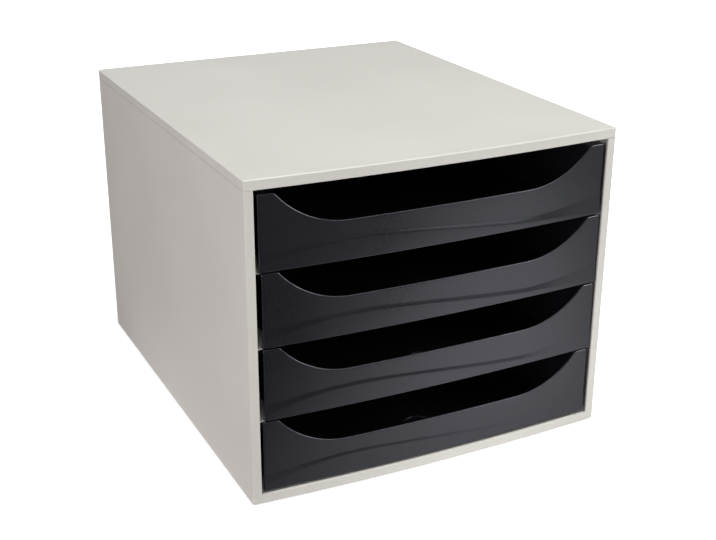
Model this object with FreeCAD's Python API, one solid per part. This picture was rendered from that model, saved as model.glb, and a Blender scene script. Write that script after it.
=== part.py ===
"""Desk drawer set: a pale moulded cabinet with a clipped-on lid and four sliding letter trays.

Millimetres, +X right, +Y back, +Z up. The origin is at the middle of the footprint, on the desk.
The front of the cabinet and of the drawers bows forward, so most outlines end in the same arc.
"""
import FreeCAD, Part
import math
import os

Vector = FreeCAD.Vector

# Cabinet
width = 284.0
depth = 340.0
shell_height = 234.0
front_crown = 5.0
skin = 2.4
frame_width = 6.4
frame_depth = 2.4
lid_height = 7.3
sill_height = 6.7
lip_rise = 2.0
edge_round = 1.0
lid_bevel = 0.6
overrun = 10.0
tolerance = 0.001

# Ribs under the lid and under the base
rib = 1.6
rib_drop = 1.5
long_ribs = 3
cross_ribs = 4

# Back panel in its grooves
back_lip = 2.4
back_sheet = 2.4
back_fit = 0.3
back_rebate = 5.0
groove_reach = 6.0
field_margin = 14.0
field_depth = 0.8
field_corner = 8.0

# Ledges that carry the drawers
drawer_count = 4
ledge_reach = 24.0
ledge_thickness = 2.0
nose_reach = 11.0
nose_setback = 3.4
run_gap = 0.3
shelf_gap = 4.0

# Drawer
front_thickness = 2.4
front_recess = 1.5
front_edge_round = 1.5
front_gap = 1.3
sill_gap = 1.3
lid_gap = 4.0
side_play = 2.5
tray_inset = 9.6
tray_wall = 1.8
tray_floor = 1.8
tray_corner = 5.0
floor_bevel = 1.5
rear_gap = 1.6
rim_gap = 0.7
rim_thickness = 1.8

# Scooped top edge of a drawer front
scoop_depth = 24.7
scoop_flat = 139.0
scoop_margin = 11.6
scoop_corner = 3.0

# Wave across a drawer front, where its lower part swells out: places across the front as shares of
# its half width, with the heights of the crease and of the foot of the slope as shares of its height
wave_depth = 0.8
wave_shares = (
    (-1.02, 0.22, 0.082),
    (-0.7, 0.30, 0.25),
    (-0.45, 0.321, 0.275),
    (-0.15, 0.275, 0.235),
    (0.1, 0.223, 0.175),
    (0.35, 0.17, 0.118),
    (0.554, 0.145, 0.082),
    (0.8, 0.205, 0.055),
    (1.02, 0.322, 0.028),
)

# Stop tabs on the rims of a drawer
travel = 235.0
stop_gap = 0.3
tab_length = 14.0
tab_clearance = 0.2

# Ring moulded on the floor of a drawer
ring_outer = 28.0
ring_width = 2.0
ring_height = 0.6
ring_from_front = 39.0
ring_off_middle = 6.0

# Where each drawer, from the bottom one up, rests in its side play, as shares of that play
rest_play_shares = (0.1, 0.84, 0.9, 0.28)

# Feet
foot_radius = 8.0
foot_height = 2.2
foot_proud = 1.0
foot_fit = 0.2
foot_inset = 22.0
foot_chamfer = 0.4
boss_wall = 2.0

# Hooks that hold the lid down
hook_length = 12.0
hook_thickness = 2.0
hook_barb = 1.1
hook_drop = 1.2
hook_fit = 0.4
hook_seat_gap = 0.2
hook_from_wall = 2.2
hook_place_shares = (-0.36, 0.0, 0.36)

half_width = width / 2
front_y = -depth / 2
back_y = depth / 2
front_radius = (half_width ** 2 + front_crown ** 2) / (2 * front_crown)
sill_z = foot_proud + sill_height
top_z = foot_proud + shell_height
seam_z = top_z - lid_height
floor_z = sill_z - lip_rise
inner_half = half_width - skin
opening_half = half_width - frame_width
groove_y = back_y - back_lip - back_sheet - 2 * back_fit
tray_rear_y = groove_y - rib - rear_gap
ledge_half = half_width - ledge_reach
ledge_setback = front_recess + front_thickness + shelf_gap
front_half = opening_half - side_play
tray_half = front_half - tray_inset
pitch = (seam_z - lid_gap + front_gap - sill_z - sill_gap) / drawer_count
front_height = pitch - front_gap
tray_top = pitch - run_gap - ledge_thickness - rim_gap
nose_thickness = front_gap - 2 * run_gap
hook_half = inner_half - hook_from_wall


def front_at(x, inset):
    """Y of the bowed front at x, moved back by inset."""
    return front_y + front_radius - math.sqrt((front_radius - inset) ** 2 - x ** 2)


def box(x0, x1, y0, y1, z0, z1):
    return Part.makeBox(x1 - x0, y1 - y0, z1 - z0, Vector(x0, y0, z0))


def prism(points, direction):
    """Solid from a closed outline of straight runs."""
    return Part.Face(Part.makePolygon(points + points[:1])).extrude(direction)


def bowed_block(x0, x1, inset, y1, z0, z1):
    """Block whose front face lies inset behind the bowed front, and whose back is flat at y1."""
    middle = (x0 + x1) / 2
    left = Vector(x0, front_at(x0, inset), z0)
    right = Vector(x1, front_at(x1, inset), z0)
    crown = Vector(middle, front_at(middle, inset), z0)
    rear_left, rear_right = Vector(x0, y1, z0), Vector(x1, y1, z0)
    outline = [
        Part.Arc(left, crown, right).toShape(),
        Part.makeLine(right, rear_right),
        Part.makeLine(rear_right, rear_left),
        Part.makeLine(rear_left, left),
    ]
    return Part.Face(Part.Wire(outline)).extrude(Vector(0, 0, z1 - z0))


def mirrored(shape):
    return shape.mirror(Vector(0, 0, 0), Vector(1, 0, 0))


def both_sides(shapes):
    """The shapes and their mirror images in the middle plane."""
    return shapes + [mirrored(shape) for shape in shapes]


def fused(base, additions):
    return base.fuse(additions).removeSplitter()


def upright(edge):
    """Whether an edge runs along Z."""
    start, end = edge.Vertexes[0].Point, edge.Vertexes[-1].Point
    return math.hypot(start.x - end.x, start.y - end.y) < tolerance < abs(start.z - end.z)


def level_with(edge, z):
    return all(abs(vertex.Z - z) < tolerance for vertex in edge.Vertexes)


def rounded(shape, radius, wanted):
    return shape.makeFillet(radius, [edge for edge in shape.Edges if wanted(edge)])


def rib_grid(z0, z1):
    """Stiffening ribs that cross the cabinet's width and depth between two heights."""
    ribs = []
    for number in range(1, long_ribs + 1):
        x = inner_half * (2 * number / (long_ribs + 1) - 1)
        ribs.append(bowed_block(x - rib / 2, x + rib / 2, skin / 2, back_y - skin / 2, z0, z1))
    for number in range(1, cross_ribs + 1):
        y = front_y + depth * number / (cross_ribs + 1)
        ribs.append(box(-inner_half - skin / 2, inner_half + skin / 2, y - rib / 2, y + rib / 2, z0, z1))
    return ribs


def foot_places():
    x = half_width - foot_inset
    return {
        "front_left": (-x, front_at(x, foot_inset)),
        "front_right": (x, front_at(x, foot_inset)),
        "back_left": (-x, back_y - foot_inset),
        "back_right": (x, back_y - foot_inset),
    }


def drawer_z(level):
    """Height of the underside of a drawer, counted from the bottom one."""
    return sill_z + sill_gap + level * pitch


def make_ledge(level):
    """One ledge on the left wall, with the thin nose that shows beside the drawer fronts."""
    top = drawer_z(level) - run_gap
    wall = -inner_half - skin / 2
    plate = bowed_block(wall, -ledge_half, ledge_setback, groove_y - rib / 2, top - ledge_thickness, top)
    nose_half = half_width - nose_reach
    rear = front_at(nose_half, ledge_setback) + nose_setback
    nose = bowed_block(wall, -nose_half, nose_setback, rear, top - nose_thickness, top)
    return [plate, nose]


def make_seat():
    """Flange along the top of the left wall that the lid rests and hooks on."""
    seat = bowed_block(-inner_half - skin / 2, -ledge_half, ledge_setback, groove_y - rib / 2,
                       seam_z - ledge_thickness, seam_z)
    slots = []
    for share in hook_place_shares:
        y = share * depth
        reach = hook_length / 2 + hook_fit
        slots.append(box(-hook_half - hook_fit, -hook_half + hook_thickness + hook_fit,
                         y - reach, y + reach, seam_z - overrun, seam_z + overrun))
    return seat.cut(slots)


def make_housing():
    """Sides and base in one moulding, open at the top, the front and the back, with a thin front frame."""
    shape = bowed_block(-half_width, half_width, 0, back_y, foot_proud, seam_z)
    shape = rounded(shape, edge_round, upright)
    inside = bowed_block(-inner_half, inner_half, frame_depth, back_y - back_lip, floor_z, seam_z + overrun)
    mouth = box(-opening_half, opening_half, front_y - overrun, back_y - back_lip - back_sheet,
                sill_z, seam_z + overrun)
    rear_window = box(-opening_half, opening_half, back_y - back_lip - back_sheet, back_y + overrun,
                      floor_z + back_rebate, seam_z + overrun)
    underside = bowed_block(-inner_half, inner_half, skin, back_y - skin,
                            foot_proud - overrun, floor_z - skin)
    shape = shape.cut([inside, mouth, rear_window, underside])

    rail = bowed_block(-inner_half - skin / 2, -ledge_half, ledge_setback, groove_y - rib / 2,
                       floor_z - skin / 2, drawer_z(0) - run_gap)
    groove_wall = box(-inner_half - skin / 2, -half_width + groove_reach, groove_y - rib, groove_y,
                      floor_z - skin / 2, seam_z)
    left = [rail, groove_wall, make_seat()]
    for level in range(1, drawer_count):
        left += make_ledge(level)
    groove_sill = box(-inner_half, inner_half, groove_y - rib, groove_y,
                      floor_z - skin / 2, floor_z + back_rebate)
    bosses, pockets = [], []
    pocket_top = foot_height
    for x, y in foot_places().values():
        bosses.append(Part.makeCylinder(foot_radius + foot_fit + boss_wall, floor_z - skin / 2 - foot_proud,
                                        Vector(x, y, foot_proud)))
        pockets.append(Part.makeCylinder(foot_radius + foot_fit, pocket_top - foot_proud + overrun,
                                         Vector(x, y, foot_proud - overrun)))
    ribs = rib_grid(foot_proud + rib_drop, floor_z - skin / 2)
    shape = shape.fuse(both_sides(left) + [groove_sill] + bosses + ribs)
    return shape.cut(pockets).removeSplitter()


def make_hook(place_share):
    """One barbed hook on the left that passes through its slot in the seat."""
    y = place_share * depth - hook_length / 2
    low = seam_z - ledge_thickness - hook_seat_gap - hook_drop
    stem = box(-hook_half, -hook_half + hook_thickness, y, y + hook_length, low, top_z - skin / 2)
    inner = -hook_half + hook_thickness
    barb_top = seam_z - ledge_thickness - hook_seat_gap
    barb = prism([Vector(inner, y, low), Vector(inner + hook_barb, y, barb_top), Vector(inner, y, barb_top)],
                 Vector(0, hook_length, 0))
    return stem.fuse(barb)


def make_lid():
    shape = bowed_block(-half_width, half_width, 0, back_y, seam_z, top_z)
    shape = rounded(shape, edge_round, upright)
    shape = shape.makeChamfer(lid_bevel, [edge for edge in shape.Edges if level_with(edge, top_z)])
    hollow = bowed_block(-inner_half, inner_half, skin, back_y - skin, seam_z - overrun, top_z - skin)
    shape = shape.cut(hollow)
    hooks = both_sides([make_hook(share) for share in hook_place_shares])
    return fused(shape, rib_grid(seam_z + rib_drop, top_z - skin / 2) + hooks)


def make_back_panel():
    """Sheet that drops into the grooves from above, with a shallow field in its outer face."""
    half = inner_half - back_fit
    front = groove_y + back_fit
    shape = box(-half, half, front, front + back_sheet, floor_z, seam_z - back_fit)
    margin = frame_width + field_margin
    field = box(-half_width + margin, half_width - margin, front + back_sheet - field_depth,
                back_y + overrun, floor_z + margin, seam_z - margin)
    corners = [edge for edge in field.Edges if abs(edge.Vertexes[0].Y - edge.Vertexes[-1].Y) > tolerance]
    return shape.cut(field.makeFillet(field_corner, corners))


def scoop_cutter():
    """Shape that takes the finger scoop out of a drawer front standing on z = 0."""
    half_flat, half_top = scoop_flat / 2, front_half - scoop_margin
    radius = ((half_top - half_flat) ** 2 + scoop_depth ** 2) / (2 * scoop_depth)
    low = front_height - scoop_depth
    centre_z = low + radius
    corner_z = front_height - scoop_corner
    corner_x = half_flat + math.sqrt((radius + scoop_corner) ** 2 - (centre_z - corner_z) ** 2)
    reach = radius / (radius + scoop_corner)
    join_x = half_flat + (corner_x - half_flat) * reach
    join_z = centre_z + (corner_z - centre_z) * reach
    start_turn = math.atan2(join_z - centre_z, join_x - half_flat)
    half_turn = (start_turn - math.pi / 2) / 2
    arc_x = half_flat + radius * math.cos(half_turn)
    arc_z = centre_z + radius * math.sin(half_turn)
    tip_turn = (math.pi / 2 + start_turn + math.pi) / 2
    tip_x = corner_x + scoop_corner * math.cos(tip_turn)
    tip_z = corner_z + scoop_corner * math.sin(tip_turn)

    y = front_y - overrun
    high = front_height + overrun

    def at(x, z):
        return Vector(x, y, z)

    outline = [
        Part.makeLine(at(-half_flat, low), at(half_flat, low)),
        Part.Arc(at(half_flat, low), at(arc_x, arc_z), at(join_x, join_z)).toShape(),
        Part.Arc(at(join_x, join_z), at(tip_x, tip_z), at(corner_x, front_height)).toShape(),
        Part.makeLine(at(corner_x, front_height), at(corner_x, high)),
        Part.makeLine(at(corner_x, high), at(-corner_x, high)),
        Part.makeLine(at(-corner_x, high), at(-corner_x, front_height)),
        Part.Arc(at(-corner_x, front_height), at(-tip_x, tip_z), at(-join_x, join_z)).toShape(),
        Part.Arc(at(-join_x, join_z), at(-arc_x, arc_z), at(-half_flat, low)).toShape(),
    ]
    rear = front_at(half_top, front_recess + front_thickness) + run_gap
    return Part.Face(Part.Wire(outline)).extrude(Vector(0, rear - y, 0))


def wave_section(place_share, crease_share, foot_share):
    """Upright section of the wave cutter, whose low side slopes out past the face of the drawer front."""
    x = place_share * front_half
    face = front_at(x, front_recess)
    crease, foot = crease_share * front_height, foot_share * front_height
    high = front_height + overrun
    points = [
        Vector(x, face + wave_depth, crease),
        Vector(x, face - wave_depth, foot - (crease - foot)),
        Vector(x, face - wave_depth, high),
        Vector(x, face + wave_depth, high),
    ]
    return Part.makePolygon(points + points[:1])


def make_front():
    """Bowed drawer front standing on z = 0, stepped back above its wave, without the finger scoop."""
    slab = bowed_block(-front_half, front_half, front_recess, 0, 0, front_height)
    slab = rounded(slab, front_edge_round, lambda edge: upright(edge) and edge.Vertexes[0].Y < 0)
    beyond = bowed_block(-half_width, half_width, front_recess + front_thickness, overrun,
                         -overrun, front_height + overrun)
    wave = Part.makeLoft([wave_section(*shares) for shares in wave_shares], True, False)
    return slab.cut([beyond, wave])


def make_stop_tab():
    """Ramped tab on the left rim that meets the back of the cabinet's front frame."""
    root = front_half - rim_thickness
    tip = inner_half - side_play - tab_clearance
    y = front_at(tip, frame_depth) + stop_gap + travel
    points = [(root, y), (tip, y), (tip, y + tab_length / 2), (root, y + tab_length)]
    outline = [Vector(-px, py, tray_top - rim_thickness) for px, py in points]
    return prism(outline, Vector(0, 0, rim_thickness))


def make_tray():
    """One drawer standing on z = 0, midway between the cabinet's walls."""
    inset = front_recess + front_thickness
    outer = bowed_block(-tray_half, tray_half, inset - front_thickness / 2, tray_rear_y, 0, tray_top)
    inner_x = tray_half - tray_wall
    hollow = bowed_block(-inner_x, inner_x, inset, tray_rear_y - tray_wall, tray_floor, tray_top + overrun)
    hollow = rounded(hollow, tray_corner, lambda edge: upright(edge) and edge.Vertexes[0].Y > 0)
    low = [edge for edge in hollow.Edges if level_with(edge, tray_floor)]
    hollow = hollow.makeChamfer(floor_bevel, low)
    rim = bowed_block(-front_half, -tray_half + tray_wall / 2, inset - front_thickness / 2, tray_rear_y,
                      tray_top - rim_thickness, tray_top)
    centre = Vector(ring_off_middle, front_y + ring_from_front, tray_floor / 2)
    height = tray_floor / 2 + ring_height
    ring = Part.makeCylinder(ring_outer / 2, height, centre)
    ring = ring.cut(Part.makeCylinder(ring_outer / 2 - ring_width, height, centre))
    tray = fused(outer, [make_front()]).cut([hollow, scoop_cutter()])
    return fused(tray, both_sides([rim, make_stop_tab()]) + [ring])


def make_foot(x, y):
    foot = Part.makeCylinder(foot_radius, foot_height, Vector(x, y, 0))
    low = [edge for edge in foot.Edges if level_with(edge, 0)]
    return foot.makeChamfer(foot_chamfer, low)


def make_parts():
    parts = {"housing": make_housing(), "lid": make_lid(), "back_panel": make_back_panel()}
    tray = make_tray()
    for level in range(drawer_count):
        place = Vector(rest_play_shares[level] * side_play, 0, drawer_z(level))
        parts[f"drawer_{drawer_count - level}"] = tray.translated(place)
    for corner, (x, y) in foot_places().items():
        parts[f"foot_{corner}"] = make_foot(x, y)
    return parts


os.makedirs("parts", exist_ok=True)
for name, shape in make_parts().items():
    shape.exportStep(f"parts/{name}.step")
    limits = shape.BoundBox
    print(name, "solids", len(shape.Solids), "valid", shape.isValid(), "faces", len(shape.Faces),
          "x", round(limits.XMin, 1), round(limits.XMax, 1), "y", round(limits.YMin, 1),
          round(limits.YMax, 1), "z", round(limits.ZMin, 1), round(limits.ZMax, 1))
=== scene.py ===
"""Looks of the desk drawer set: a pale satin cabinet with four semi-gloss anthracite letter trays."""

import math

import bmesh
import bpy
from mathutils import Matrix, Vector


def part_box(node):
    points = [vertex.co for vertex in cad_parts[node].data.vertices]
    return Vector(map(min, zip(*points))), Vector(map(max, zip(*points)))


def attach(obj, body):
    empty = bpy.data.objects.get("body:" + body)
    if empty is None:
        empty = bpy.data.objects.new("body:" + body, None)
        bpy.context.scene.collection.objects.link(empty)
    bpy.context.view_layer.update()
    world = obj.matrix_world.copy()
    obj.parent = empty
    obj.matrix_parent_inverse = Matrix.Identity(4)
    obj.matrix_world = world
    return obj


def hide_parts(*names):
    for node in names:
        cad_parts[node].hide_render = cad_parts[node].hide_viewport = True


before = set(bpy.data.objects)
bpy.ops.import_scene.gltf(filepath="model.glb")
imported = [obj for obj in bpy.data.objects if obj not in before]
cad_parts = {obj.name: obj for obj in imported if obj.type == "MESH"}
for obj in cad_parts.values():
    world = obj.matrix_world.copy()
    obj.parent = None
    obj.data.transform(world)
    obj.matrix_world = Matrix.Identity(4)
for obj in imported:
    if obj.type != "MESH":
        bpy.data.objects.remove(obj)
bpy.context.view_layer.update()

# Cabinet, in metres
width = 0.284
depth = 0.340
front_crown = 0.005
frame_width = 0.0064
sill_z = 0.0077
base_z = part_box("housing")[0].z
seam_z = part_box("housing")[1].z
seam_gap = 0.0002
edge_soft = 0.0004

# Drawer fronts
drawer_names = ("drawer_1", "drawer_2", "drawer_3", "drawer_4")
front_half = 0.1331
front_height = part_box(drawer_names[0])[1].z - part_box(drawer_names[0])[0].z
front_thickness = 0.0024
front_recess = 0.0015
tray_height = 0.051
tray_bite = 0.0003
outline_round = 0.0007
rear_round = 0.0004
lowest_row = 0.0011
highest_row_gap = 0.0016
face_row_shares = (0.2, 0.45, 0.7)

# Scooped top edge
scoop_depth = 0.0247
scoop_flat_half = 0.0695
scoop_top_half = 0.1215
scoop_corner = 0.003

# Wave across a drawer front: places as shares of its half width, then the heights of the crease and
# of the foot of the slope as shares of its height
wave_depth = 0.0008
wave_foot_soft = 0.0006
wave_crease_soft = 0.00015
wave_shares = (
    (-1.02, 0.22, 0.082),
    (-0.7, 0.30, 0.25),
    (-0.45, 0.321, 0.275),
    (-0.15, 0.275, 0.235),
    (0.1, 0.223, 0.175),
    (0.35, 0.17, 0.118),
    (0.554, 0.145, 0.082),
    (0.8, 0.205, 0.055),
    (1.02, 0.322, 0.028),
)

# Tolerances and angles for reading the meshes
near = 0.00005
weld = 0.000002
flat_angle = math.radians(0.4)
corner_angle = math.radians(50)
crease_angle = math.radians(38)

half_width = width / 2
opening_half = half_width - frame_width
front_y = -depth / 2
back_y = depth / 2
front_radius = (half_width ** 2 + front_crown ** 2) / (2 * front_crown)


# Places on the cabinet

def front_at(x, inset):
    """Y of the bowed front at x, moved back by inset."""
    return front_y + front_radius - math.sqrt((front_radius - inset) ** 2 - x ** 2)


def same(a, b):
    """Whether two places are one within the tolerance."""
    return abs(a - b) < near


def both(edge, test):
    """Whether both ends of an edge pass a test of their place."""
    return all(test(vertex.co) for vertex in edge.verts)


def on_outline(point):
    """Whether a point lies on the outer walls of the cabinet, seen from above."""
    return same(abs(point.x), half_width) or same(point.y, back_y) or same(point.y, front_at(point.x, 0))


# Meshes

def merged_copy(node):
    """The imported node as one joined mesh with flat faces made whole."""
    mesh = bmesh.new()
    mesh.from_mesh(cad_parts[node].data)
    bmesh.ops.remove_doubles(mesh, verts=mesh.verts, dist=weld)
    bmesh.ops.dissolve_limit(mesh, angle_limit=flat_angle, verts=mesh.verts, edges=mesh.edges)
    return mesh


def round_edges(mesh, edges, radius, segments):
    bmesh.ops.bevel(mesh, geom=edges, offset=radius, offset_type="OFFSET", segments=segments, profile=0.5,
                    affect="EDGES", clamp_overlap=True, material=-1)


def round_where(mesh, wanted):
    """Softens the edges that are wanted, all in one bevel."""
    round_edges(mesh, [edge for edge in mesh.edges if wanted(edge)], edge_soft, segments=2)


def corner_edge(edge):
    """Whether an edge is an outer corner sharp enough to round."""
    return len(edge.link_faces) == 2 and edge.is_convex and edge.calc_face_angle() > corner_angle


def finish_piece(name, mesh, material, body, slot, *nodes):
    """Turns a mesh into a piece that rides on its body in place of its nodes."""
    data = bpy.data.meshes.new(name)
    mesh.to_mesh(data)
    mesh.free()
    data.shade_smooth()
    data.set_sharp_from_angle(angle=crease_angle)
    data.materials.clear()
    data.materials.append(material)
    piece = bpy.data.objects.new(name, data)
    bpy.context.scene.collection.objects.link(piece)
    weighted = piece.modifiers.new("flat faces stay flat", "WEIGHTED_NORMAL")
    weighted.keep_sharp = True
    weighted.weight = 50
    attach(piece, body)
    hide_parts(*nodes)
    return piece


def housing_mesh():
    """Sides and base, with the edges round the mouth and the feet side softened."""
    mesh = merged_copy("housing")

    def mouth_edge(edge):
        upright = both(edge, lambda p: same(abs(p.x), opening_half) and same(p.y, front_at(p.x, 0)))
        sill = both(edge, lambda p: same(p.z, sill_z) and same(p.y, front_at(p.x, 0)))
        return corner_edge(edge) and (upright or sill)

    def base_edge(edge):
        return corner_edge(edge) and both(edge, lambda p: same(p.z, base_z) and on_outline(p))

    round_where(mesh, mouth_edge)
    round_where(mesh, base_edge)
    return mesh


def lid_mesh():
    """Cap that stands a hair off the housing, so that the seam shows as a fine dark line."""
    mesh = merged_copy("lid")
    for vertex in mesh.verts:
        if same(vertex.co.z, seam_z):
            vertex.co.z += seam_gap
    return mesh


# Drawers

def wave_at(x):
    """Heights at x of the foot of the wave's slope and of its crease, smoothly through the shares."""
    place = x / front_half
    last = len(wave_shares) - 1
    index = next((number for number, row in enumerate(wave_shares) if row[0] >= place), last)
    index = max(index, 1)
    before, after = wave_shares[index - 1], wave_shares[index]
    behind, ahead = wave_shares[max(index - 2, 0)], wave_shares[min(index + 1, last)]
    span = after[0] - before[0]
    t = (place - before[0]) / span
    heights = []
    for column in (2, 1):
        slope_in = (after[column] - behind[column]) / (after[0] - behind[0]) * span
        slope_out = (ahead[column] - before[column]) / (ahead[0] - before[0]) * span
        share = ((2 * t ** 3 - 3 * t ** 2 + 1) * before[column] + (t ** 3 - 2 * t ** 2 + t) * slope_in
                 + (3 * t ** 2 - 2 * t ** 3) * after[column] + (t ** 3 - t ** 2) * slope_out)
        heights.append(share * front_height)
    return heights


def scoop_shape():
    """Radius of the scoop's curves, and where each runs into the rounded corner above it."""
    radius = ((scoop_top_half - scoop_flat_half) ** 2 + scoop_depth ** 2) / (2 * scoop_depth)
    centre_z = front_height - scoop_depth + radius
    corner_z = front_height - scoop_corner
    corner_x = scoop_flat_half + math.sqrt((radius + scoop_corner) ** 2 - (centre_z - corner_z) ** 2)
    join_x = scoop_flat_half + (corner_x - scoop_flat_half) * radius / (radius + scoop_corner)
    return radius, join_x, corner_x


scoop_radius, scoop_join, scoop_end = scoop_shape()


def scoop_line(x):
    """Height of a drawer front's top edge at x."""
    away = abs(x)
    low = front_height - scoop_depth
    if away <= scoop_flat_half:
        return low
    if away <= scoop_join:
        return low + scoop_radius - math.sqrt(scoop_radius ** 2 - (away - scoop_flat_half) ** 2)
    if away < scoop_end:
        return front_height - scoop_corner + math.sqrt(scoop_corner ** 2 - (away - scoop_end) ** 2)
    return front_height


def front_columns():
    """Places across a drawer front for its columns of faces, closest where the scoop curves."""
    flat, curve, corner, outer = 9, 16, 4, 4
    places = [scoop_flat_half * step / flat for step in range(flat)]
    turn = math.asin((scoop_join - scoop_flat_half) / scoop_radius)
    places += [scoop_flat_half + scoop_radius * math.sin(turn * step / curve) for step in range(curve)]
    turn = math.asin((scoop_end - scoop_join) / scoop_corner)
    places += [scoop_end - scoop_corner * math.sin(turn * (1 - step / corner)) for step in range(corner)]
    places += [scoop_end + (front_half - scoop_end) * step / outer for step in range(outer + 1)]
    return [-place for place in reversed(places[1:])] + places


def front_rows(x):
    """Heights up a drawer front at x, each with how far the face steps back there."""
    foot, crease = wave_at(x)
    top = scoop_line(x)
    slope = wave_depth / (crease - foot)
    low = max(foot - wave_foot_soft, lowest_row)
    rows = [(0, 0), (low, 0), (foot + wave_foot_soft, slope * wave_foot_soft)]
    rows += [(crease - wave_crease_soft, wave_depth - slope * wave_crease_soft)]
    rows += [(crease + wave_crease_soft, wave_depth)]
    rows += [(crease + share * (top - crease), wave_depth) for share in face_row_shares]
    return rows + [(top - highest_row_gap, wave_depth), (top, wave_depth)]


def front_mesh(shift, low_z):
    """Bowed, scooped drawer front with its wave and rounded outline."""
    columns = front_columns()
    count = len(front_rows(0))
    mesh = bmesh.new()
    bmesh.ops.create_grid(mesh, x_segments=len(columns) - 1, y_segments=count - 1, size=1)
    for vertex in mesh.verts:
        x = columns[round((vertex.co.x + 1) / 2 * (len(columns) - 1))]
        z, step = front_rows(x)[round((vertex.co.y + 1) / 2 * (count - 1))]
        vertex.co = (x, front_at(x, front_recess) + step, z)
    outline = [edge for edge in mesh.edges if edge.is_boundary]
    made = bmesh.ops.extrude_face_region(mesh, geom=mesh.faces[:])["geom"]
    for vertex in made:
        if isinstance(vertex, bmesh.types.BMVert):
            vertex.co.y = front_at(vertex.co.x, front_recess + front_thickness)
    bmesh.ops.recalc_face_normals(mesh, faces=mesh.faces)
    rear = [edge for edge in made if isinstance(edge, bmesh.types.BMEdge) and corner_edge(edge)]
    round_edges(mesh, outline, outline_round, segments=3)
    round_edges(mesh, [edge for edge in rear if edge.is_valid], rear_round, segments=2)
    bmesh.ops.translate(mesh, verts=mesh.verts, vec=(shift, 0, low_z))
    return mesh


def tray_mesh(node, shift):
    """Everything behind the drawer front: floor, walls, rims, stop tabs and ring, let into the front."""
    mesh = bmesh.new()
    mesh.from_mesh(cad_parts[node].data)
    bmesh.ops.remove_doubles(mesh, verts=mesh.verts, dist=weld)
    inset = front_recess + front_thickness

    def rear_of_front(point):
        return front_at(point.x - shift, inset)

    for vertex in mesh.verts:
        vertex.co.y = max(vertex.co.y, rear_of_front(vertex.co))
    flat = [face for face in mesh.faces if all(v.co.y < rear_of_front(v.co) + near for v in face.verts)]
    bmesh.ops.delete(mesh, geom=flat, context="FACES")
    bmesh.ops.dissolve_degenerate(mesh, edges=mesh.edges, dist=weld)
    bmesh.ops.dissolve_limit(mesh, angle_limit=flat_angle, verts=mesh.verts, edges=mesh.edges)
    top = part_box(node)[0].z + tray_height

    def upper_edge(edge):
        return corner_edge(edge) and both(edge, lambda p: same(p.z, top))

    round_where(mesh, upper_edge)
    for vertex in mesh.verts:
        if vertex.co.y < rear_of_front(vertex.co) + near:
            vertex.co.y -= tray_bite
    return mesh


def drawer_mesh(node):
    """Front and tray of one drawer in one mesh, the tray let into the front."""
    low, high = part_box(node)
    shift = (low.x + high.x) / 2
    mesh = front_mesh(shift, low.z)
    tray = tray_mesh(node, shift)
    data = bpy.data.meshes.new("tray")
    tray.to_mesh(data)
    tray.free()
    mesh.from_mesh(data)
    bpy.data.meshes.remove(data)
    return mesh


# Finishes: grain's share in the colour's drift, the drift's two ends, and scales per metre
grain_share = 0.35
tone_low = 0.3
tone_high = 0.7
edge_mark_reach = 0.0009
edge_mark_patch_scale = 70.0
dust_speck_scale = 500.0


def new_group(name, inputs, outputs):
    """Shader node group with named sockets, and its two end nodes."""
    group = bpy.data.node_groups.new(name, "ShaderNodeTree")
    for label, kind, value in inputs:
        socket = group.interface.new_socket(label, in_out="INPUT", socket_type=kind)
        if value is not None:
            socket.default_value = value
    for label, kind in outputs:
        group.interface.new_socket(label, in_out="OUTPUT", socket_type=kind)
    return group, group.nodes.new("NodeGroupInput"), group.nodes.new("NodeGroupOutput")


def math_node(nodes, operation, first, second=None, third=None):
    """Math node whose inputs are sockets or numbers."""
    node = nodes.new("ShaderNodeMath")
    node.operation = operation
    for index, value in enumerate((first, second, third)):
        if value is None:
            continue
        if isinstance(value, bpy.types.NodeSocket):
            node.id_data.links.new(value, node.inputs[index])
        else:
            node.inputs[index].default_value = value
    return node.outputs[0]


def edge_wear_and_highlight_group():
    """Mask of the edges, patchy along their length: wear from hands and neighbours, and on dark gloss a
    painted highlight.
    """
    group, given, put = new_group(
        "edge wear and painted highlight",
        [("Point", "NodeSocketVector", None), ("Reach", "NodeSocketFloat", 0.0008),
         ("Patch Scale", "NodeSocketFloat", 90.0)],
        [("Mask", "NodeSocketFloat")])
    nodes, links = group.nodes, group.links
    bevel = nodes.new("ShaderNodeBevel")
    bevel.samples = 6
    links.new(given.outputs["Reach"], bevel.inputs["Radius"])
    shape = nodes.new("ShaderNodeNewGeometry")
    dot = nodes.new("ShaderNodeVectorMath")
    dot.operation = "DOT_PRODUCT"
    links.new(bevel.outputs["Normal"], dot.inputs[0])
    links.new(shape.outputs["Normal"], dot.inputs[1])
    turned = math_node(nodes, "SUBTRACT", 1.0, dot.outputs["Value"])
    edge = nodes.new("ShaderNodeMapRange")
    edge.inputs["From Min"].default_value = 0.01
    edge.inputs["From Max"].default_value = 0.22
    links.new(turned, edge.inputs["Value"])
    patch = nodes.new("ShaderNodeTexNoise")
    patch.inputs["Detail"].default_value = 4.0
    links.new(given.outputs["Point"], patch.inputs["Vector"])
    links.new(given.outputs["Patch Scale"], patch.inputs["Scale"])
    patch_mask = nodes.new("ShaderNodeMapRange")
    patch_mask.inputs["From Min"].default_value = 0.35
    patch_mask.inputs["From Max"].default_value = 0.65
    links.new(patch.outputs[0], patch_mask.inputs["Value"])
    links.new(math_node(nodes, "MULTIPLY", edge.outputs[0], patch_mask.outputs[0]), put.inputs["Mask"])
    return group


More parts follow.
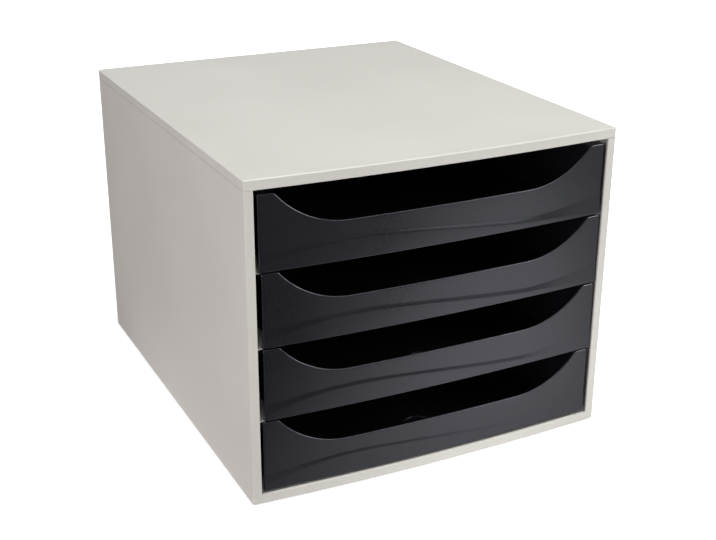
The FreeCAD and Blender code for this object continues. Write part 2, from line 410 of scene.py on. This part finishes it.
def moulded_skin_group():
    """Fine spark-eroded grain over broad, soft waves, as a moulding comes out of its tool."""
    group, given, put = new_group(
        "moulded skin",
        [("Point", "NodeSocketVector", None), ("Grain Scale", "NodeSocketFloat", 900.0),
         ("Cloud Scale", "NodeSocketFloat", 14.0)],
        [("Grain", "NodeSocketFloat"), ("Cloud", "NodeSocketFloat"), ("Height", "NodeSocketFloat")])
    nodes, links = group.nodes, group.links
    grain = nodes.new("ShaderNodeTexNoise")
    grain.inputs["Detail"].default_value = 3.0
    grain.inputs["Roughness"].default_value = 0.6
    cloud = nodes.new("ShaderNodeTexNoise")
    cloud.inputs["Detail"].default_value = 2.0
    for texture, scale in ((grain, "Grain Scale"), (cloud, "Cloud Scale")):
        links.new(given.outputs["Point"], texture.inputs["Vector"])
        links.new(given.outputs[scale], texture.inputs["Scale"])
    links.new(grain.outputs[0], put.inputs["Grain"])
    links.new(cloud.outputs[0], put.inputs["Cloud"])
    height = math_node(nodes, "MULTIPLY_ADD", cloud.outputs[0], 2.0, grain.outputs[0])
    links.new(height, put.inputs["Height"])
    return group


def dust_group():
    """Mask of fine dust that settles on faces that look up."""
    group, given, put = new_group(
        "settled dust",
        [("Point", "NodeSocketVector", None), ("Speck Scale", "NodeSocketFloat", 420.0)],
        [("Mask", "NodeSocketFloat")])
    nodes, links = group.nodes, group.links
    shape = nodes.new("ShaderNodeNewGeometry")
    split = nodes.new("ShaderNodeSeparateXYZ")
    links.new(shape.outputs["Normal"], split.inputs[0])
    up = nodes.new("ShaderNodeMapRange")
    up.inputs["From Min"].default_value = 0.6
    links.new(split.outputs["Z"], up.inputs["Value"])
    speck = nodes.new("ShaderNodeTexNoise")
    speck.inputs["Detail"].default_value = 5.0
    links.new(given.outputs["Point"], speck.inputs["Vector"])
    links.new(given.outputs["Speck Scale"], speck.inputs["Scale"])
    spots = nodes.new("ShaderNodeMapRange")
    spots.inputs["From Min"].default_value = 0.45
    spots.inputs["From Max"].default_value = 0.75
    links.new(speck.outputs[0], spots.inputs["Value"])
    links.new(math_node(nodes, "MULTIPLY", up.outputs[0], spots.outputs[0]), put.inputs["Mask"])
    return group


edge_wear_and_highlight_tree = edge_wear_and_highlight_group()
moulded_skin = moulded_skin_group()
settled_dust = dust_group()


def add_group(tree, group, point, values):
    """Puts a node group into a material, at a point and with set values."""
    node = tree.nodes.new("ShaderNodeGroup")
    node.node_tree = group
    tree.links.new(point, node.inputs["Point"])
    for label, value in values.items():
        node.inputs[label].default_value = value
    return node


def ramp(tree, factor, stops):
    """Colour ramp with the given (place, grey or colour) stops."""
    node = tree.nodes.new("ShaderNodeValToRGB")
    elements = node.color_ramp.elements
    while len(elements) < len(stops):
        elements.new(0.5)
    for element, (place, colour) in zip(elements, stops):
        element.position = place
        element.color = (*colour, 1) if isinstance(colour, tuple) else (colour, colour, colour, 1)
    tree.links.new(factor, node.inputs["Fac"])
    return node.outputs["Color"]


def mixed(tree, factor, first, second):
    """Colour between two colours or sockets."""
    node = tree.nodes.new("ShaderNodeMix")
    node.data_type = "RGBA"
    for socket, value in ((node.inputs[0], factor), (node.inputs[6], first), (node.inputs[7], second)):
        if isinstance(value, bpy.types.NodeSocket):
            tree.links.new(value, socket)
        else:
            socket.default_value = (*value, 1) if isinstance(value, tuple) else value
    return node.outputs[2]


def start_material(name):
    """New material with its shader and its place on the piece."""
    material = bpy.data.materials.new(name)
    material.use_nodes = True
    tree = material.node_tree
    shader = next(node for node in tree.nodes if node.type == "BSDF_PRINCIPLED")
    place = tree.nodes.new("ShaderNodeTexCoord").outputs["Object"]
    return material, tree, shader, place


def plastic(name, dark, light, edge_wear_and_highlight, dusty, rough_low, rough_high, grain_scale, cloud_scale, bump,
            bump_height, edge_wear_and_highlight_share, dust_share, ior, sheen=(1, 1, 1)):
    """Moulded plastic whose colour drifts between two tones, paler at its edges with wear and painted
    highlight, and lightly dusty.
    """
    material, tree, shader, place = start_material(name)
    skin = add_group(tree, moulded_skin, place, {"Grain Scale": grain_scale, "Cloud Scale": cloud_scale})
    edge_marks = add_group(tree, edge_wear_and_highlight_tree, place, {"Reach": edge_mark_reach, "Patch Scale": edge_mark_patch_scale})
    dust = add_group(tree, settled_dust, place, {"Speck Scale": dust_speck_scale})
    cloud_part = math_node(tree.nodes, "MULTIPLY", skin.outputs["Cloud"], 1 - grain_share)
    tone = math_node(tree.nodes, "MULTIPLY_ADD", skin.outputs["Grain"], grain_share, cloud_part)
    colour = ramp(tree, tone, [(tone_low, dark), (tone_high, light)])
    # Edge mask: wear on the shell and the feet, and on the drawers a painted highlight
    edge_wear_and_highlight_mask = math_node(tree.nodes, "MULTIPLY", edge_marks.outputs["Mask"], edge_wear_and_highlight_share)
    dust_mask = math_node(tree.nodes, "MULTIPLY", dust.outputs["Mask"], dust_share)
    colour = mixed(tree, edge_wear_and_highlight_mask, colour, edge_wear_and_highlight)
    colour = mixed(tree, dust_mask, colour, dusty)
    tree.links.new(colour, shader.inputs["Base Color"])
    rough = ramp(tree, tone, [(tone_low, rough_low), (tone_high, rough_high)])
    tree.links.new(rough, shader.inputs["Roughness"])
    relief = tree.nodes.new("ShaderNodeBump")
    relief.inputs["Strength"].default_value = bump
    relief.inputs["Distance"].default_value = bump_height
    tree.links.new(skin.outputs["Height"], relief.inputs["Height"])
    tree.links.new(relief.outputs["Normal"], shader.inputs["Normal"])
    shader.inputs["IOR"].default_value = ior
    shader.inputs["Specular Tint"].default_value = (*sheen, 1)
    return material


shell_plastic = plastic(
    "satin warm grey plastic", dark=(0.60, 0.59, 0.55), light=(0.64, 0.63, 0.59),
    edge_wear_and_highlight=(0.70, 0.69, 0.65), dusty=(0.66, 0.65, 0.62), rough_low=0.42, rough_high=0.52,
    grain_scale=900.0, cloud_scale=9.0, bump=0.25, bump_height=0.00004,
    edge_wear_and_highlight_share=0.25, dust_share=0.06, ior=1.49)
# The drawers' pale edge colour is a painted highlight on their scoop and outline edges
drawer_plastic = plastic(
    "semi-gloss anthracite plastic", dark=(0.004, 0.004, 0.0054), light=(0.0065, 0.0065, 0.0086),
    edge_wear_and_highlight=(0.2, 0.2, 0.212), dusty=(0.06, 0.06, 0.06), rough_low=0.26, rough_high=0.36,
    grain_scale=700.0, cloud_scale=16.0, bump=0.12, bump_height=0.00005,
    edge_wear_and_highlight_share=0.55, dust_share=0.05, ior=1.74, sheen=(0.86, 0.87, 1))
foot_rubber = plastic(
    "matt black rubber", dark=(0.03, 0.03, 0.03), light=(0.045, 0.045, 0.045),
    edge_wear_and_highlight=(0.09, 0.09, 0.09), dusty=(0.15, 0.15, 0.14), rough_low=0.7, rough_high=0.85,
    grain_scale=1400.0, cloud_scale=60.0, bump=0.6, bump_height=0.00008,
    edge_wear_and_highlight_share=0.5, dust_share=0.1, ior=1.5)


# Stage, lamps and camera, in metres

# Floor: a painted pool of light in front of the fronts, seen only in their gloss, and whiter far off
floor_half = 8
floor_grey = (0.86, 0.86, 0.86)
pool_place = (0.2, -0.385, 0)
pool_turn = math.radians(-50)
pool_reach = (0.46, 0.108, 1)
pool_span = 2
pool_stops = ((0.2, 0.95), (0.85, 0.08))
glow_span = 4
glow_stops = ((0.12, 0.45), (0.4, 1))

# Studio walls: brightness by the height that a ray climbs
wall_stops = ((0.1, 0.06), (0.34, 0.14))

# Softboxes: name, place, target, width, height, radiance, colour
softboxes = (
    ("overhead softbox", (0.1, -0.3, 2.2), (0, 0, 0), 2.2, 2.2, 3.05, (1, 1, 1)),
    ("key softbox", (1.1, -1.0, 0.68), (0.1, -0.2, 0.1), 0.6, 0.6, 12.0, (0.985, 1, 0.965)),
    ("side fill", (-1.25, -0.7, 0.32), (0, -0.05, 0.1), 0.8, 0.6, 8.7, (1, 0.935, 0.95)),
    ("back fill", (-0.5, 1.7, 0.4), (0, 0.1, 0.1), 1.0, 0.7, 2.0, (1, 1, 1)),
)

# Camera: its place, how far it turns about the upright, looks down and rolls, and its focal length
# in picture widths
camera_place = (-0.3971, -0.8418, 0.4699)
camera_turn = math.radians(-26.297)
camera_drop = math.radians(22.211)
camera_roll = math.radians(0.231)
focal_share = 1225.9 / 716
sensor_width = 36


def distance(tree, point):
    """How far a point is from the origin of its own space."""
    node = tree.nodes.new("ShaderNodeVectorMath")
    node.operation = "LENGTH"
    tree.links.new(point, node.inputs[0])
    return node.outputs["Value"]


def lay_floor():
    """Pale floor that the camera sees as white but for the shadow, and all white far off; to other rays
    it carries a painted pool of light.
    """
    mesh = bmesh.new()
    bmesh.ops.create_grid(mesh, x_segments=1, y_segments=1, size=floor_half)
    data = bpy.data.meshes.new("floor")
    mesh.to_mesh(data)
    mesh.free()
    material = bpy.data.materials.new("pale floor")
    material.use_nodes = True
    tree = material.node_tree
    tree.nodes.clear()
    place = tree.nodes.new("ShaderNodeTexCoord").outputs["Object"]
    pool = tree.nodes.new("ShaderNodeMapping")
    pool.vector_type = "TEXTURE"
    pool.inputs["Location"].default_value = pool_place
    pool.inputs["Rotation"].default_value = (0, 0, pool_turn)
    pool.inputs["Scale"].default_value = pool_reach
    tree.links.new(place, pool.inputs["Vector"])
    seen = tree.nodes.new("ShaderNodeLightPath").outputs["Is Camera Ray"]
    # Painted pool of light: floor colour bright inside the pool and dark away from it, for all rays but
    # the camera's
    from_pool = math_node(tree.nodes, "DIVIDE", distance(tree, pool.outputs[0]), pool_span)
    colour = mixed(tree, seen, ramp(tree, from_pool, pool_stops), floor_grey)
    matt = tree.nodes.new("ShaderNodeBsdfDiffuse")
    tree.links.new(colour, matt.inputs["Color"])
    glow = tree.nodes.new("ShaderNodeEmission")
    glow.inputs["Color"].default_value = (1, 1, 1, 1)
    from_middle = math_node(tree.nodes, "DIVIDE", distance(tree, place), glow_span)
    strength = math_node(tree.nodes, "MULTIPLY", seen, ramp(tree, from_middle, glow_stops))
    tree.links.new(strength, glow.inputs["Strength"])
    both_shaders = tree.nodes.new("ShaderNodeAddShader")
    tree.links.new(matt.outputs[0], both_shaders.inputs[0])
    tree.links.new(glow.outputs[0], both_shaders.inputs[1])
    out = tree.nodes.new("ShaderNodeOutputMaterial")
    tree.links.new(both_shaders.outputs[0], out.inputs["Surface"])
    data.materials.append(material)
    floor = bpy.data.objects.new("floor", data)
    bpy.context.scene.collection.objects.link(floor)


def fill_world():
    """White to the camera; to everything else a dim studio, dimmest low down."""
    world = bpy.data.worlds.new("studio")
    bpy.context.scene.world = world
    world.use_nodes = True
    tree = world.node_tree
    tree.nodes.clear()
    ray = tree.nodes.new("ShaderNodeLightPath")
    white = tree.nodes.new("ShaderNodeBackground")
    white.inputs["Color"].default_value = (1, 1, 1, 1)
    direction = tree.nodes.new("ShaderNodeSeparateXYZ")
    tree.links.new(tree.nodes.new("ShaderNodeTexCoord").outputs["Generated"], direction.inputs[0])
    room = tree.nodes.new("ShaderNodeBackground")
    tree.links.new(ramp(tree, direction.outputs["Z"], wall_stops), room.inputs["Color"])
    choose = tree.nodes.new("ShaderNodeMixShader")
    tree.links.new(ray.outputs["Is Camera Ray"], choose.inputs[0])
    tree.links.new(room.outputs[0], choose.inputs[1])
    tree.links.new(white.outputs[0], choose.inputs[2])
    out = tree.nodes.new("ShaderNodeOutputWorld")
    tree.links.new(choose.outputs[0], out.inputs["Surface"])


def hang_softbox(name, place, target, wide, tall, radiance, colour):
    """Rectangular softbox that looks at a point, of a given brightness per area."""
    lamp = bpy.data.lights.new(name, "AREA")
    lamp.shape = "RECTANGLE"
    lamp.size = wide
    lamp.size_y = tall
    lamp.energy = radiance * math.pi * wide * tall
    lamp.color = colour
    box = bpy.data.objects.new(name, lamp)
    look = (Vector(target) - Vector(place)).to_track_quat("-Z", "Y")
    box.matrix_world = Matrix.Translation(place) @ look.to_matrix().to_4x4()
    bpy.context.scene.collection.objects.link(box)


def set_camera():
    """Camera where the photographer stood: left of the middle, looking down on the set."""
    tilt = Matrix.Rotation(math.radians(90) - camera_drop, 4, "X")
    turn = Matrix.Rotation(camera_turn, 4, "Z")
    roll = Matrix.Rotation(camera_roll, 4, "Z")
    lens = bpy.data.cameras.new("camera")
    lens.sensor_width = sensor_width
    lens.lens = focal_share * sensor_width
    camera = bpy.data.objects.new("camera", lens)
    camera.matrix_world = Matrix.Translation(camera_place) @ turn @ tilt @ roll
    bpy.context.scene.collection.objects.link(camera)
    bpy.context.scene.camera = camera


# Making

set_camera()
fill_world()
lay_floor()
for softbox in softboxes:
    hang_softbox(*softbox)

finish_piece("housing_moulding", housing_mesh(), shell_plastic, "cabinet", "shell", "housing")
finish_piece("lid_moulding", lid_mesh(), shell_plastic, "cabinet", "shell", "lid")
for drawer in drawer_names:
    finish_piece(f"{drawer}_moulding", drawer_mesh(drawer), drawer_plastic, drawer, "drawer", drawer)
for node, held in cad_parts.items():
    held.data.materials.clear()
    if node.startswith("foot"):
        held.data.materials.append(foot_rubber)
    elif node.startswith("drawer"):
        held.data.materials.append(drawer_plastic)
    else:
        held.data.materials.append(shell_plastic)

bpy.context.scene.view_settings.view_transform = "Standard"
bpy.context.view_layer.update()
